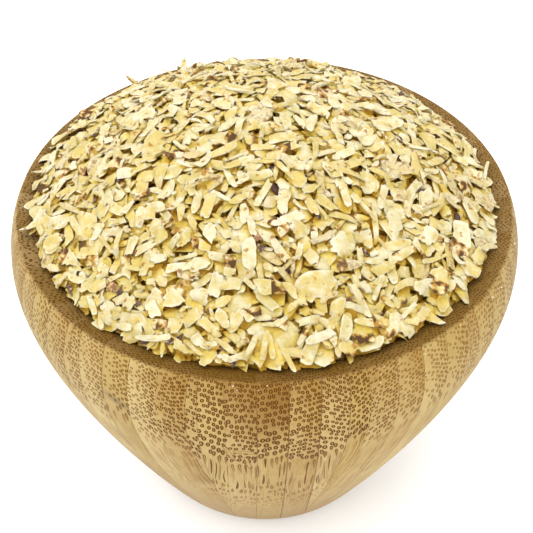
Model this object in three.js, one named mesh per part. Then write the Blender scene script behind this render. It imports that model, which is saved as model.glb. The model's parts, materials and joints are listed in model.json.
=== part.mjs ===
// A turned bamboo bowl, heaped above its rim with tiger nut flakes.
// Millimetres, +Z up. The origin is the centre of the foot, where the bowl stands.
import * as THREE from "three";

// Driving dimensions
const BOWL_HEIGHT = 104; // foot to the top edge of the rim
const BELLY_RADIUS = 70; // widest part of the wall
const BELLY_DROP = 14.2; // how far the widest part lies below the rim
const RIM_RADIUS = 67.2; // outer edge of the rim
const RIM_EASING = 0.8; // softening of the rim's outer edge
const MOUTH_RADIUS = 60.9; // inner edge of the rim's sloping band
const BAND_DROP = 1.9; // how far the band falls from the outer to the inner edge
const HEEL_RADIUS = 38.9; // where the wall starts to turn in to the foot
const HEEL_DROP = 98.8;
const FOOT_RADIUS = 31.5; // flat disc that the bowl stands on
const CAVITY_RADIUS = 60.6; // inside, just under the mouth
const LIP_DEPTH = 0.6; // upright part of the inside, under the mouth
const CAVITY_FLOOR = 12; // thickness of the bottom
const CAVITY_FLOOR_RADIUS = 20; // flat part of the inside bottom

// How full the curves of the section are, in millimetres past the points that they join
const RIM_FULLNESS = 1.5;
const BELLY_FULLNESS = 22;
const HEEL_FULLNESS = 1.1;
const HEEL_RUN = 1.6;
const HEEL_TURN_IN = 1.8;
const HEEL_TURN_DOWN = 2.7;
const FOOT_TURN = 3;
const CAVITY_FULLNESS = 1.5;
const CAVITY_CORNER = 24;
// The same, as shares of the belly's drop and the cavity's depth
const UPPER_SHARE = 0.6;
const RIM_SHARE = 0.24;
const CAVITY_SHARE = 0.45;

const HEAP_RISE = 29; // top of the heap above its edge
const HEAP_SHAPE = 2; // 1 is a cone, 2 a round dome, more is flatter on top
const HEAP_EDGE_LIFT = 1; // thickness of the flakes at the heap's edge
const SPILL_WIDTH = 2.9; // how far flakes lie out over the band where they spill most
const SPILL_AZIMUTH = 118; // degrees from +X, the middle of the spill
const UNEVENNESS = 1.1; // height of the lumps on the heap
const ROUGHNESS = 0.7; // how far single flakes stand up or lie deep
const GAP = 0.3; // left between the bowl and the flakes
const RELIEF_STEPS = 50; // spots of flake relief for each radian, and from the middle to the edge

const SEGMENTS = 72;
const DOME_RINGS = 16;
const BAMBOO = 0xb9976a;
const FLAKES = 0xe6d9a3;

const rimZ = BOWL_HEIGHT;
const mouthZ = rimZ - BAND_DROP;

// Points along a Bezier side of the bowl's section, given as [radius, drop below the rim] pairs.
function sidePoints(start, startHandle, endHandle, end, count) {
  const corners = [start, startHandle, endHandle, end].map(
    ([radius, drop]) => new THREE.Vector2(radius, rimZ - drop),
  );
  return new THREE.CubicBezierCurve(...corners).getPoints(count);
}

function outerWall() {
  const upperHandle = [BELLY_RADIUS, BELLY_DROP * UPPER_SHARE];
  const rimHandle = [RIM_RADIUS + RIM_FULLNESS, BELLY_DROP * RIM_SHARE];
  const lowerHandle = [BELLY_RADIUS, BELLY_DROP + BELLY_FULLNESS];
  const heelHandle = [HEEL_RADIUS + HEEL_FULLNESS, HEEL_DROP - HEEL_RUN];
  const underHeel = [HEEL_RADIUS - HEEL_TURN_IN, HEEL_DROP + HEEL_TURN_DOWN];
  const belly = [BELLY_RADIUS, BELLY_DROP];
  const heel = [HEEL_RADIUS, HEEL_DROP];
  const footEdge = [FOOT_RADIUS, BOWL_HEIGHT];
  const footHandle = [FOOT_RADIUS + FOOT_TURN, BOWL_HEIGHT];
  const shoulder = [RIM_RADIUS, RIM_EASING];
  return [
    ...sidePoints(footEdge, footHandle, underHeel, heel, 4),
    ...sidePoints(heel, heelHandle, lowerHandle, belly, 12).slice(1),
    ...sidePoints(belly, upperHandle, rimHandle, shoulder, 4).slice(1),
  ];
}

// The inside wall, from the centre of its floor up to the mouth, moved in by the given clearance.
function innerWall(clearance) {
  const floorDrop = BOWL_HEIGHT - CAVITY_FLOOR - clearance;
  const mouth = [CAVITY_RADIUS - clearance, BAND_DROP + LIP_DEPTH];
  const straight = [CAVITY_RADIUS + CAVITY_FULLNESS - clearance, floorDrop * CAVITY_SHARE];
  const corner = [CAVITY_FLOOR_RADIUS + CAVITY_CORNER, floorDrop];
  const floorEdge = [CAVITY_FLOOR_RADIUS, floorDrop];
  return [
    new THREE.Vector2(0, rimZ - floorDrop),
    ...sidePoints(floorEdge, corner, straight, mouth, 10),
  ];
}

function bowl() {
  const section = [
    new THREE.Vector2(0, 0),
    ...outerWall(),
    new THREE.Vector2(RIM_RADIUS - RIM_EASING, rimZ),
    new THREE.Vector2(MOUTH_RADIUS, mouthZ),
    ...innerWall(0).reverse(),
  ];
  const geometry = new THREE.LatheGeometry(section, SEGMENTS);
  geometry.rotateX(Math.PI / 2);
  const material = new THREE.MeshStandardMaterial({
    color: BAMBOO,
    roughness: 0.5,
    metalness: 0,
  });
  const mesh = new THREE.Mesh(geometry, material);
  mesh.name = "bowl";
  return mesh;
}

// Smooth lumps, from -1 to 1, over the plan of the heap.
function lumps(x, y) {
  const long = Math.sin(0.21 * x + 0.11 * y + 0.4) + Math.sin(0.09 * x - 0.24 * y + 2.1);
  const short = Math.sin(0.43 * x - 0.31 * y + 1.2) + Math.sin(0.37 * x + 0.46 * y + 4.4);
  return (long + 0.8 * short) / 3.6;
}

// A fixed value from -1 to 1 for each spot of the heap, different from its neighbours'.
function flakeRelief(azimuth, share) {
  const side = Math.round(RELIEF_STEPS * azimuth);
  const ring = Math.round(RELIEF_STEPS * share);
  const wave = 43758.55 * Math.sin(78.2 * side + 12.9 * ring);
  return 2 * (wave - Math.floor(wave)) - 1;
}

// How far out the heap reaches in a direction: the mouth, and further where flakes spill on the band.
function heapRadius(azimuth) {
  const away = azimuth - THREE.MathUtils.degToRad(SPILL_AZIMUTH);
  const spill = Math.max(0, Math.cos(away)) ** 1.5;
  const ragged = 0.5 + 0.5 * Math.sin(7 * azimuth + 1) * Math.sin(3 * azimuth);
  return MOUTH_RADIUS + 0.4 + SPILL_WIDTH * spill * (0.7 + 0.3 * ragged);
}

function bandHeight(radius) {
  const inwards = (RIM_RADIUS - radius) / (RIM_RADIUS - MOUTH_RADIUS);
  return rimZ - BAND_DROP * Math.min(1, Math.max(0, inwards));
}

function heapSurface(azimuth, share) {
  const edge = heapRadius(azimuth);
  const edgeZ = bandHeight(edge) + GAP + HEAP_EDGE_LIFT;
  const radius = edge * share;
  const x = radius * Math.cos(azimuth);
  const y = radius * Math.sin(azimuth);
  const inside = share > 0 && share < 1;
  const relief = inside ? ROUGHNESS * flakeRelief(azimuth, share) : 0;
  return edgeZ * share ** 2 +
    (mouthZ + GAP + HEAP_EDGE_LIFT) * (1 - share ** 2) +
    HEAP_RISE * (1 - share ** HEAP_SHAPE) +
    UNEVENNESS * lumps(x, y) * (1 - share ** 8) +
    relief;
}

// The heap's section in one direction, from its bottom up, over the band's edge and up to the top.
function heapSection(azimuth) {
  const edge = heapRadius(azimuth);
  const section = innerWall(GAP);
  const lipRadius = MOUTH_RADIUS - GAP;
  section.push(new THREE.Vector2(lipRadius, mouthZ + GAP));
  section.push(new THREE.Vector2(edge, bandHeight(edge) + GAP));
  for (let ring = 0; ring <= DOME_RINGS; ring += 1) {
    const share = 1 - ring / DOME_RINGS;
    section.push(new THREE.Vector2(edge * share, heapSurface(azimuth, share)));
  }
  return section;
}

// A closed solid whose section changes with direction. Each section starts and ends on the axis.
function turnedSolid(sectionAt, segments) {
  const positions = [];
  const faces = [];
  const rings = sectionAt(0).length;
  for (let side = 0; side < segments; side += 1) {
    const azimuth = (2 * Math.PI * side) / segments;
    sectionAt(azimuth).forEach(({ x: radius, y: height }) =>
      positions.push(radius * Math.cos(azimuth), radius * Math.sin(azimuth), height),
    );
  }
  const at = (side, ring) => {
    const onAxis = ring === 0 || ring === rings - 1;
    return (onAxis ? 0 : side % segments) * rings + ring;
  };
  for (let side = 0; side < segments; side += 1) {
    for (let ring = 0; ring < rings - 1; ring += 1) {
      const [a, b] = [at(side, ring), at(side + 1, ring)];
      const [c, d] = [at(side + 1, ring + 1), at(side, ring + 1)];
      if (a !== b) faces.push(a, b, c);
      if (c !== d) faces.push(a, c, d);
    }
  }
  const geometry = new THREE.BufferGeometry();
  geometry.setAttribute("position", new THREE.Float32BufferAttribute(positions, 3));
  geometry.setIndex(faces);
  geometry.computeVertexNormals();
  return geometry;
}

function flakeHeap() {
  const material = new THREE.MeshStandardMaterial({
    color: FLAKES,
    roughness: 0.85,
    metalness: 0,
  });
  const mesh = new THREE.Mesh(turnedSolid(heapSection, SEGMENTS), material);
  mesh.name = "flake_heap";
  return mesh;
}

const part = new THREE.Group();
part.add(bowl(), flakeHeap());
export default part;
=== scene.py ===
"""A bamboo bowl heaped with tiger nut flakes: its looks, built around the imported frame.

Sizes are in millimetres until a mesh is made, which is in metres. The bowl stands on z = 0 on
the origin. Its front is towards -Y, and azimuths on it count from there towards +X.
"""

import json
import math
from dataclasses import dataclass
from types import SimpleNamespace

import bmesh
import bpy
import numpy as np
from bpy.props import FloatProperty, FloatVectorProperty, IntProperty, PointerProperty
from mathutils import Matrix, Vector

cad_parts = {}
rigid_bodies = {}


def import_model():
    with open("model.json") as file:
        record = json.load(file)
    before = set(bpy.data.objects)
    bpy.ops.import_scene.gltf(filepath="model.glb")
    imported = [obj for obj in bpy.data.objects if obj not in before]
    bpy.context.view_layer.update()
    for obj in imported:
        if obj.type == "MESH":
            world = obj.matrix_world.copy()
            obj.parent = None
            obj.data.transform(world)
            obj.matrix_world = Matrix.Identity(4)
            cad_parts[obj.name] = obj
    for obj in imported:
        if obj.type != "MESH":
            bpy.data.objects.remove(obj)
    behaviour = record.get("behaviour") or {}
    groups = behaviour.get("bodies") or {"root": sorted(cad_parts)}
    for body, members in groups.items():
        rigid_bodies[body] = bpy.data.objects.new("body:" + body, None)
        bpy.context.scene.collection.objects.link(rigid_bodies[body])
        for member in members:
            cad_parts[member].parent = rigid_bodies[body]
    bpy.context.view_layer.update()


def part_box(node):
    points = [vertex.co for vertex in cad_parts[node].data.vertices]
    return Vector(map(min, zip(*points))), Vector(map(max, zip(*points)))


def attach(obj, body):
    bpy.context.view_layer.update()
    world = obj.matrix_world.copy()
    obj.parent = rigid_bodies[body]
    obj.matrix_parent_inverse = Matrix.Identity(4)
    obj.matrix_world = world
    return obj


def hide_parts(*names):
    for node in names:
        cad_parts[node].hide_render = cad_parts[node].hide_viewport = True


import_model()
_, bowl_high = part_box("bowl")

bl_info = {
    "name": "Bowl of tiger nut flakes",
    "version": (1, 0, 0),
    "blender": (4, 5, 0),
    "location": "View3D > Sidebar > Flake bowl",
    "description": "Builds a laminated bamboo bowl heaped with dry tiger nut flakes",
    "category": "Object",
}

MM = 0.001
BODY = "root"
RIM_HEIGHT = bowl_high.z / MM
BELLY_RADIUS = bowl_high.x / MM


# ---------------------------------------------------------------- settings


def amount(name, description, default, **more):
    return FloatProperty(name=name, description=description, default=default, **more)


def whole(name, description, default):
    return IntProperty(name=name, description=description, default=default)


def span(name, description, least, most):
    """The least and the most of a size."""
    return FloatVectorProperty(name=name, description=description, size=2, default=(least, most))


def paint(name, description, *rgb):
    return FloatVectorProperty(name=name, description=description, subtype="COLOR", size=3, default=rgb)


class BowlSettings(bpy.types.PropertyGroup):
    """Sizes of the turned bowl, in millimetres."""

    rim_radius: amount("Rim radius", "Outer edge of the rim", 67.2)
    rim_easing: amount("Rim easing", "Softening of the outer edge", 0.8)
    mouth_radius: amount("Mouth radius", "Inner edge of the band", 60.9)
    band_drop: amount("Band drop", "Fall of the sloping band", 1.9)
    belly_drop: amount("Belly drop", "Rim to the widest part", 14.2)
    heel_radius: amount("Heel radius", "Where the wall turns in", 38.9)
    heel_drop: amount("Heel drop", "Rim to heel", 98.8)
    foot_radius: amount("Foot radius", "Flat disc underneath", 31.5)
    floor_thickness: amount("Floor", "Thickness of the bottom", 12.0)
    segments: whole("Segments", "Steps round the bowl", 288)


class BambooSettings(bpy.types.PropertyGroup):
    """Lamination and colours of the bamboo."""

    strip_width: amount("Strip width", "Width of one strip, mm", 7.5)
    bundle_spacing: amount("Bundle spacing", "Between fibre bundles, mm", 1.46)
    straw: paint("Straw", "Light wall", 0.47, 0.363, 0.164)
    amber: paint("Amber", "Darker strips", 0.286, 0.175, 0.049)
    olive: paint("Olive", "Greener strips", 0.365, 0.262, 0.083)
    caramel: paint("Caramel", "Stain at the front", 0.185, 0.092, 0.021)
    bundle: paint("Bundles", "Fibre bundles", 0.050, 0.014, 0.001)


class HeapSettings(bpy.types.PropertyGroup):
    """Shape of the heap and how the flakes lie, in millimetres."""

    rise: amount("Rise", "Top of the heap above its edge", 29.0)
    shape: amount("Shape", "1 is a cone, 2 a dome", 2.0)
    edge_lift: amount("Edge lift", "Thickness at the heap's edge", 1.0)
    spill: amount("Spill", "Reach out over the band where it spills", 2.3)
    spill_direction: amount(
        "Spill direction", "Middle of the spill, from +X", math.radians(118), subtype="ANGLE"
    )
    settling: amount("Settling", "How far most flakes lie under the highest ones", 1.4)
    slump: amount("Slump", "How much lower the heap lies at the back left", 1.5)
    unevenness: amount("Unevenness", "Height of the lumps", 1.1)
    loose_depth: amount("Loose depth", "Loose flakes over the core", 6.3)
    seed: whole("Seed", "Another way for the flakes to fall", 11)
    most_flakes: whole("Most flakes", "Where laying them stops", 12000)
    fillers: whole("Fillers", "Small pieces dropped in the gaps", 5200)
    crumbs_on_top: whole("Crumbs on top", "Sprinkled at the end", 1100)


class FlakeSettings(bpy.types.PropertyGroup):
    """Sizes of the kinds of flake, shortest and longest in millimetres, and their colours."""

    slice_length: span("Slice length", "Broad slices", 7.4, 11.6)
    slice_width: span("Slice width", "Broad slices", 4.2, 7.0)
    chip_length: span("Chip length", "Broken pieces", 4.6, 8.8)
    chip_width: span("Chip width", "Broken pieces", 2.3, 4.3)
    shard_length: span("Shard length", "Angular pieces", 3.4, 7.2)
    shard_width: span("Shard width", "Angular pieces", 1.9, 3.8)
    sliver_length: span("Sliver length", "Narrow pieces", 4.8, 10.2)
    sliver_width: span("Sliver width", "Narrow pieces", 1.0, 2.3)
    crumb_length: span("Crumb length", "Small bits", 1.2, 3.2)
    crumb_width: span("Crumb width", "Small bits", 0.9, 2.2)
    skin_length: span("Skin length", "Dark bits", 2.0, 4.2)
    skin_width: span("Skin width", "Dark bits", 1.4, 2.8)
    thickness: span("Thickness", "All kinds", 0.22, 0.5)
    cream: paint("Cream", "Floury faces", 0.90, 0.84, 0.63)
    straw: paint("Straw", "Yellow faces", 0.74, 0.59, 0.21)
    beige: paint("Beige", "Greyish faces", 0.60, 0.48, 0.25)
    stain: paint("Stain", "Spots and natural edges", 0.50, 0.24, 0.035)
    tan: paint("Tan", "Light parts of dark skin", 0.26, 0.11, 0.035)
    # Painted shade: the next two colours go on flakes by how much sky the pile hides from them
    shaded: paint("Shaded", "Flakes just under others", 0.90, 0.67, 0.11)
    gap_shade: paint("Deep", "Flakes down in the gaps", 0.74, 0.35, 0.012)
    husk: paint("Husk", "Dark skin", 0.060, 0.030, 0.024)


class StageSettings(bpy.types.PropertyGroup):
    """Camera, lights and floor."""

    camera_place: FloatVectorProperty(
        name="Camera",
        description="Where it stands",
        subtype="TRANSLATION",
        default=(0.000545, -0.22452, 0.29262),
    )
    camera_tilt: amount("Tilt", "From straight down", math.radians(46.106), subtype="ANGLE")
    lens: amount("Lens", "Focal length in mm, 36 mm sensor", 72.457)
    key_power: amount("Key", "Light from above, left of the middle", 15.5)
    fill_power: amount("Fill", "Light from the front", 3.6)
    surround: amount("Surround", "Strength of the white surround", 0.82)


# ---------------------------------------------------------------- node helpers


def four(colour):
    """A colour with its alpha, as a colour socket wants it. A linked colour stays as it is."""
    return colour if isinstance(colour, bpy.types.NodeSocket) else (*colour[:3], 1.0)


def applied(operation, reflected=False):
    """A method of Number that adds a Math node. If reflected, the number itself comes last."""

    def method(self, *others):
        operands = (*others, self) if reflected else (self, *others)
        return self.math(operation, *operands)

    return method


class Number:
    """A number socket. Arithmetic on it adds Math nodes."""

    def __init__(self, tree, socket):
        self.tree = tree
        self.socket = socket

    def math(self, operation, *operands, clamp=False):
        fed = {f"i{place}": value for place, value in enumerate(operands)}
        node = self.tree.add("ShaderNodeMath", {"operation": operation, "use_clamp": clamp}, **fed)
        return Number(self.tree, node.outputs[0])

    __add__, __radd__ = applied("ADD"), applied("ADD", reflected=True)
    __sub__, __rsub__ = applied("SUBTRACT"), applied("SUBTRACT", reflected=True)
    __mul__, __rmul__ = applied("MULTIPLY"), applied("MULTIPLY", reflected=True)
    __truediv__ = applied("DIVIDE")
    __lt__, __gt__ = applied("LESS_THAN"), applied("GREATER_THAN")
    least, most = applied("MINIMUM"), applied("MAXIMUM")
    floor, root, size = applied("FLOOR"), applied("SQRT"), applied("ABSOLUTE")
    sine, cosine = applied("SINE"), applied("COSINE")

    def clamped(self):
        return self.math("ADD", self, 0.0, clamp=True)

    def smooth(self, low, high):
        """0 at low, 1 at high, eased between. High may be the smaller."""
        eased = {"interpolation_type": "SMOOTHSTEP"}
        node = self.tree.add("ShaderNodeMapRange", eased, i0=self, i1=low, i2=high, i3=0.0, i4=1.0)
        return Number(self.tree, node.outputs[0])

    def hump(self, middle, width):
        """1 at middle, easing to 0 at that distance from it."""
        return (self - middle).size().smooth(width, 0.0)


class Tree:
    """A node tree with one way to add a node: its type, its settings, then its sockets."""

    def __init__(self, node_tree):
        self.tree = node_tree

    def add(self, kind, settings=None, **sockets):
        node = self.tree.nodes.new(kind)
        for name, value in (settings or {}).items():
            setattr(node, name, value)
        for name, value in sockets.items():
            self.feed(node, name, value)
        return node

    def feed(self, node, name, value):
        """Sets or links an input, which is named by its words or as i0, i1 and so on."""
        by_place = name[0] == "i" and name[1:].isdigit()
        target = node.inputs[int(name[1:])] if by_place else node.inputs[name.replace("_", " ")]
        if isinstance(value, Number):
            self.tree.links.new(value.socket, target)
        elif isinstance(value, bpy.types.NodeSocket):
            self.tree.links.new(value, target)
        else:
            target.default_value = value

    def number(self, socket):
        return Number(self, socket)

    def vector(self, x, y, z=0.0):
        return self.add("ShaderNodeCombineXYZ", X=x, Y=y, Z=z).outputs[0]

    def split(self, socket):
        """The three numbers of a vector or colour."""
        node = self.add("ShaderNodeSeparateXYZ", i0=socket)
        return [Number(self, node.outputs[place]) for place in range(3)]

    def mix(self, factor, first, second, blend="MIX"):
        """A colour between two colours, or their product."""
        kind = {"data_type": "RGBA", "blend_type": blend}
        return self.add("ShaderNodeMix", kind, i0=factor, i6=four(first), i7=four(second)).outputs[2]

    def tinted(self, colour, red, green, blue):
        """A colour with its channels multiplied by three numbers."""
        tint = self.add("ShaderNodeCombineColor", i0=red, i1=green, i2=blue)
        return self.mix(1.0, colour, tint.outputs[0], "MULTIPLY")

    def noise(self, where, scale, detail=2.0, roughness=0.5):
        node = self.add("ShaderNodeTexNoise", Vector=where, Scale=scale, Detail=detail, Roughness=roughness)
        return Number(self, node.outputs[0])

    def attribute(self, name):
        return self.add("ShaderNodeAttribute", {"attribute_type": "GEOMETRY", "attribute_name": name})

    def factor(self, name):
        """A point attribute that holds one number."""
        return Number(self, self.attribute(name).outputs["Fac"])

    def triple(self, name):
        """The three numbers of a point attribute."""
        return self.split(self.attribute(name).outputs["Vector"])

    def place(self):
        """X, Y and Z on the object in millimetres, and the vector that they make."""
        x, y, z = [part / MM for part in self.split(self.add("ShaderNodeTexCoord").outputs["Object"])]
        return x, y, z, self.vector(x, y, z)


def new_material(name, **shader_sockets):
    """A material with one principled shader. Its constants are set here."""
    material = bpy.data.materials.new(name)
    material.use_nodes = True
    material.node_tree.nodes.clear()
    tree = Tree(material.node_tree)
    shader = tree.add("ShaderNodeBsdfPrincipled", **shader_sockets)
    tree.add("ShaderNodeOutputMaterial", Surface=shader.outputs[0])
    return material, tree, shader


def dress(tree, shader, colour, height, strength, distance):
    """Gives a shader its colour and its bumps, whose depth is in metres."""
    tree.feed(shader, "Base_Color", colour)
    bump = tree.add("ShaderNodeBump", Strength=strength, Distance=distance, Height=height)
    tree.feed(shader, "Normal", bump.outputs[0])


def new_group(name, inputs):
    """A geometry node group, its tree and its given values. Inputs are socket kinds by their names."""
    group = bpy.data.node_groups.new(name, "GeometryNodeTree")
    for label, kind in inputs.items():
        group.interface.new_socket(label, in_out="INPUT", socket_type=f"NodeSocket{kind}")
    group.interface.new_socket("Made", in_out="OUTPUT", socket_type="NodeSocketGeometry")
    tree = Tree(group)
    return group, tree, tree.add("NodeGroupInput").outputs


def end_group(tree, geometry, finish):
    """Ends a group: the geometry is made real and gets its material."""
    real = tree.add("GeometryNodeRealizeInstances", Geometry=geometry)
    painted = tree.add("GeometryNodeSetMaterial", Geometry=real.outputs[0], Material=finish)
    tree.add("NodeGroupOutput", Made=painted.outputs[0])


# ---------------------------------------------------------------- mesh helpers


def new_piece(name, data):
    piece = bpy.data.objects.new(name, data)
    bpy.context.scene.collection.objects.link(piece)
    return piece


def mesh_of(name, points, faces):
    """A mesh from points in millimetres."""
    mesh = bpy.data.meshes.new(name)
    mesh.from_pydata((np.asarray(points) * MM).tolist(), [], faces)
    mesh.update()
    return mesh


def add_values(mesh, name, kind, values):
    """Puts one value for each point on a mesh."""
    layer = mesh.attributes.new(name, kind, "POINT")
    field = "vector" if kind == "FLOAT_VECTOR" else "value"
    layer.data.foreach_set(field, np.ascontiguousarray(values).ravel())


def make_with(piece, group, **inputs):
    """Replaces a piece's mesh by what a node group makes of it. Inputs are given by their names."""
    modifier = piece.modifiers.new(group.name, "NODES")
    modifier.node_group = group
    for item in group.interface.items_tree:
        key = item.name.lower().replace(" ", "_")
        if item.item_type == "SOCKET" and item.in_out == "INPUT" and key in inputs:
            modifier[item.identifier] = inputs[key]
    depsgraph = bpy.context.evaluated_depsgraph_get()
    made = bpy.data.meshes.new_from_object(piece.evaluated_get(depsgraph))
    made.name = piece.name
    piece.modifiers.clear()
    piece.data = made


def face_outwards(mesh_data):
    """Turns the faces of a closed mesh outwards."""
    mesh = bmesh.new()
    mesh.from_mesh(mesh_data)
    bmesh.ops.recalc_face_normals(mesh, faces=mesh.faces)
    if mesh.calc_volume(signed=True) < 0:
        bmesh.ops.reverse_faces(mesh, faces=mesh.faces)
    mesh.to_mesh(mesh_data)
    mesh.free()


def finish_piece(piece, node):
    """Makes a piece ride on the body and stand for its CAD node."""
    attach(piece, BODY)
    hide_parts(node)


# ---------------------------------------------------------------- bowl

# How full the curves of the section are, in millimetres past the points that they join
FOOT_TURN = 3.0
HEEL_TURN_IN = 1.8
HEEL_TURN_DOWN = 2.7
HEEL_FULLNESS = 1.1
HEEL_RUN = 1.6
BELLY_FULLNESS = 22.0
RIM_FULLNESS = 1.5
CAVITY_FULLNESS = 1.5
CAVITY_CORNER = 24.0
# The same, as shares of the belly's drop and the cavity's depth
UPPER_SHARE = 0.6
RIM_SHARE = 0.24
CAVITY_SHARE = 0.45

# The rim's outer edge and the sloping band, as steps in and down from the points that they join
SHOULDER_HANDLE = (0.1, 0.3)
CROWN_HANDLE = (0.4, 0.0)
BAND_TOP_HANDLE = (2.2, 0.35)
BAND_FOOT_HANDLE = (1.2, 0.45)

LIP_STEP = 0.3  # from the mouth out to the cavity's wall
LIP_DEPTH = 0.6  # upright part under the mouth
CAVITY_FLOOR_RADIUS = 20.0


def curve_points(start, first_handle, second_handle, end, count):
    """Points on a cubic curve, both ends included."""
    t = np.linspace(0.0, 1.0, count + 1)[:, None]
    corners = [np.array(point, float) for point in (start, first_handle, second_handle, end)]
    weights = ((1 - t) ** 3, 3 * (1 - t) ** 2 * t, 3 * (1 - t) * t**2, t**3)
    return sum(weight * corner for weight, corner in zip(weights, corners))


def outer_side(bowl):
    """The outer wall as (radius, drop below the rim) rows, from the foot's edge up to the rim."""
    foot = (bowl.foot_radius, RIM_HEIGHT)
    foot_handle = (bowl.foot_radius + FOOT_TURN, RIM_HEIGHT)
    under_heel = (bowl.heel_radius - HEEL_TURN_IN, bowl.heel_drop + HEEL_TURN_DOWN)
    heel = (bowl.heel_radius, bowl.heel_drop)
    heel_handle = (bowl.heel_radius + HEEL_FULLNESS, bowl.heel_drop - HEEL_RUN)
    lower_handle = (BELLY_RADIUS, bowl.belly_drop + BELLY_FULLNESS)
    belly = (BELLY_RADIUS, bowl.belly_drop)
    upper_handle = (BELLY_RADIUS, bowl.belly_drop * UPPER_SHARE)
    rim_handle = (bowl.rim_radius + RIM_FULLNESS, bowl.belly_drop * RIM_SHARE)
    shoulder = (bowl.rim_radius, bowl.rim_easing)
    shoulder_handle = (bowl.rim_radius - SHOULDER_HANDLE[0], SHOULDER_HANDLE[1])
    crown_handle = (bowl.rim_radius - CROWN_HANDLE[0], CROWN_HANDLE[1])
    crown = (bowl.rim_radius - bowl.rim_easing, 0.0)
    return np.vstack([
        curve_points(foot, foot_handle, under_heel, heel, 8),
        curve_points(heel, heel_handle, lower_handle, belly, 48)[1:],
        curve_points(belly, upper_handle, rim_handle, shoulder, 16)[1:],
        curve_points(shoulder, shoulder_handle, crown_handle, crown, 4)[1:],
    ])


def inner_side(bowl, clearance, count):
    """The inside wall as (radius, drop) rows, from the mouth down to the flat of the floor."""
    floor_drop = RIM_HEIGHT - bowl.floor_thickness - clearance
    wall = bowl.mouth_radius - LIP_STEP - clearance
    lip = (wall, bowl.band_drop + LIP_DEPTH)
    wall_handle = (wall + CAVITY_FULLNESS, floor_drop * CAVITY_SHARE)
    corner = (CAVITY_FLOOR_RADIUS + CAVITY_CORNER, floor_drop)
    return curve_points(lip, wall_handle, corner, (CAVITY_FLOOR_RADIUS, floor_drop), count)


def bowl_section(bowl):
    """The whole section as (radius, height) rows, from the foot's centre round to the floor inside."""
    outside = outer_side(bowl)
    foot = [(radius, RIM_HEIGHT) for radius in np.linspace(0.0, bowl.foot_radius, 5)[:-1]]
    crown = outside[-1]
    mouth = (bowl.mouth_radius, bowl.band_drop)
    top_handle = (crown[0] - BAND_TOP_HANDLE[0], BAND_TOP_HANDLE[1])
    foot_handle = (bowl.mouth_radius + BAND_FOOT_HANDLE[0], bowl.band_drop - BAND_FOOT_HANDLE[1])
    band = curve_points(crown, top_handle, foot_handle, mouth, 10)
    inside = inner_side(bowl, 0.0, 28)
    floor = [(radius, inside[-1][1]) for radius in (CAVITY_FLOOR_RADIUS / 2, 0.0)]
    rows = np.vstack([foot, outside, band[1:], inside, floor])
    return np.stack([rows[:, 0], RIM_HEIGHT - rows[:, 1]], 1)


def lathe_group():
    """Geometry nodes that turn a section, held as a row of points in the XZ plane, round the Z axis."""
    group, tree, given = new_group(
        "turn_on_lathe",
        {"Section": "Geometry", "Segments": "Int", "Merge distance": "Float", "Finish": "Material"},
    )
    size = tree.add("GeometryNodeAttributeDomainSize", Geometry=given["Section"])
    rows = tree.number(size.outputs["Point Count"])
    segments = tree.number(given["Segments"])
    grid = tree.add("GeometryNodeMeshGrid", Vertices_X=segments + 1.0, Vertices_Y=rows)
    index = tree.number(tree.add("GeometryNodeInputIndex").outputs[0])
    column = (index / rows).floor()
    sample = tree.add(
        "GeometryNodeSampleIndex",
        {"data_type": "FLOAT_VECTOR", "domain": "POINT"},
        Geometry=given["Section"],
        Value=tree.add("GeometryNodeInputPosition").outputs[0],
        Index=index - column * rows,
    )
    radius, _, height = tree.split(sample.outputs[0])
    turn = column / segments * math.tau
    place = tree.vector(radius * turn.cosine(), radius * turn.sine(), height)
    moved = tree.add("GeometryNodeSetPosition", Geometry=grid.outputs[0], Position=place)
    merged = tree.add(
        "GeometryNodeMergeByDistance", Geometry=moved.outputs[0], Distance=given["Merge distance"]
    )
    smooth = tree.add("GeometryNodeSetShadeSmooth", Geometry=merged.outputs[0])
    end_group(tree, smooth.outputs[0], given["Finish"])
    return group


# ---------------------------------------------------------------- bamboo

STAVES = 12
STAVE_ANGLE = 360.0 / STAVES
FIRST_JOINT = 16.9  # azimuth of a joint between staves, in degrees
FRONT_STAVE = 11.0
# Where the seams between strips lie in each stave, as a share of the strip width, from that joint on
SEAM_PLACES = (0.27, 0.11, 0.56, 0.35, 0.72, 0.14, 0.48, 0.91, 0.62, 0.11, 0.05, 0.47)
# How steeply the wall cuts across the fibres at a few drops below the rim. 1 is square, 0 is along them.
CUT_DROPS = (0.0, 8.0, 14.0, 18.0, 22.0, 26.0, 31.0, 37.0, 45.0, 54.0, 66.0, 104.0)
CUT_SHARES = (1.02, 0.98, 0.86, 0.64, 0.42, 0.23, 0.11, 0.07, 0.055, 0.18, 0.34, 0.4)
CURVE_DROPS = (0.0, 5.0, 10.0, 15.0, 20.0, 25.0, 30.0, 36.0, 43.0, 52.0, 65.0, 80.0, 92.0, 104.0)
FIBRE_REACH = 60.0  # scale of the fibre curve, in millimetres
LEAN = 0.94  # cosine of the fibres' lean

# Colours laid over the strips
PALE_FOOT = (0.330, 0.222, 0.112)
# Darker low on the left of the wall
LOW_LEFT_DARKER = (0.270, 0.180, 0.090)
OILED = (0.165, 0.088, 0.016)
SMUDGED = (0.13, 0.105, 0.07)
FIBRE_LINE = (0.205, 0.108, 0.028)
BUNDLE_EDGE = (0.185, 0.080, 0.009)
STREAK = (0.100, 0.038, 0.006)
BAND_BUNDLE = (0.018, 0.006, 0.001)
END_GRAIN_FRONT = (0.092, 0.047, 0.006)
END_GRAIN_BACK = (0.135, 0.078, 0.022)
END_GRAIN_LIGHT = (0.20, 0.134, 0.058)
# Painted highlight along the rounded outer edge of the rim
RIM_HIGHLIGHT = (0.46, 0.33, 0.11)
KNOT_LINE = (0.105, 0.045, 0.009)
KNOT_MIDDLE = (0.44, 0.30, 0.11)
GLUE = (0.12, 0.052, 0.014)


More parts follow.
